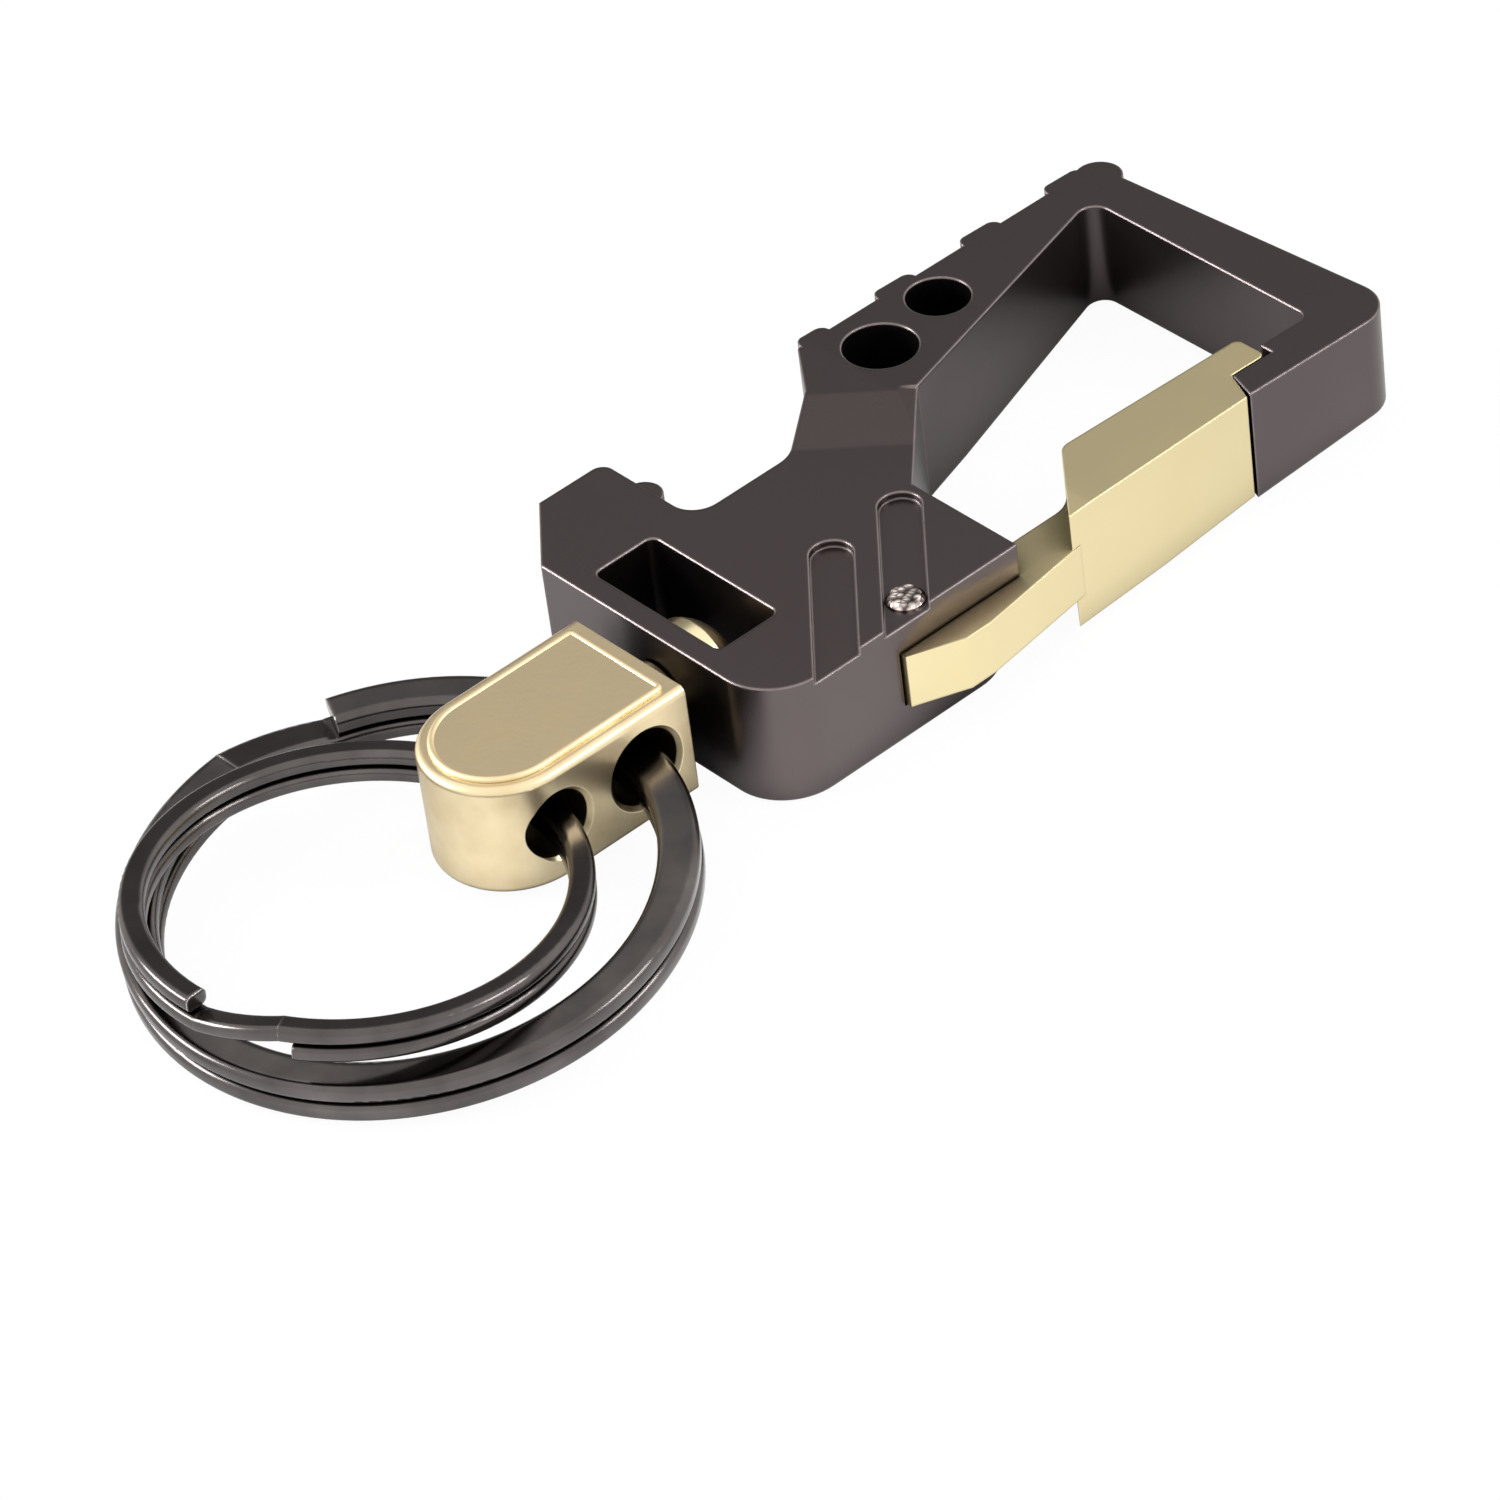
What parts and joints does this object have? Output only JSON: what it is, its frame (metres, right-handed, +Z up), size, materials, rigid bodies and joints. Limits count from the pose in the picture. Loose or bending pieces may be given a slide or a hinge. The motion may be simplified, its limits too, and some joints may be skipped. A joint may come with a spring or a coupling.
{
  "type": "keychain with bottle opener",
  "caption": "Flat metal key hook with a sprung inward gate, a bottle opener notch, a turning swivel block and two split rings.",
  "frame": {"origin": "middle of the flat underside of the thick block that holds the window and the gate's slot", "axes": "+X from the rings towards the hook's far bar, +Y towards the opener notch and the grip teeth, +Z up, square to the flat faces"},
  "size_m": [0.0934, 0.0355, 0.0089],
  "materials": {
    "dark_body": "satin black nickel",
    "gold": "satin champagne plating",
    "steel": "bright peened",
    "spring_steel": "drawn wire",
    "dark_ring": "black nickel, glossy"
  },
  "bodies": {
    "body": {"body": "dark_body", "gate_pin": "steel", "gate_spring": "spring_steel"},
    "gate": {"gate_lever": "gold"},
    "swivel": {"swivel_block": "gold", "swivel_cap": "gold"},
    "large_ring": {"large_split_ring": "dark_ring"},
    "small_ring": {"small_split_ring": "dark_ring"}
  },
  "joints": [
    {"name": "gate_hinge", "type": "hinge", "parent": "body", "child": "gate", "pos_m": [0.00251, -0.0112, 0.00435], "axis": [0, 0, 1], "range_deg": [0, 22], "stiffness_Nm_per_rad": 0.1, "springref_deg": -17.19, "deforming": ["gate_spring"]},
    {"name": "swivel_turn", "type": "hinge", "parent": "body", "child": "swivel", "pos_m": [-0.00945, -0.0022, 0.00435], "axis": [1, 0, 0], "continuous": true},
    {"name": "large_ring_swing", "type": "hinge", "parent": "swivel", "child": "large_ring", "pos_m": [-0.0158, -0.0022, 0.00435], "axis": [0, 1, 0], "range_deg": [-85, 0]},
    {"name": "small_ring_swing", "type": "hinge", "parent": "swivel", "child": "small_ring", "pos_m": [-0.02275, -0.0022, 0.00435], "axis": [0, 1, 0], "range_deg": [0, 85]}
  ]
}
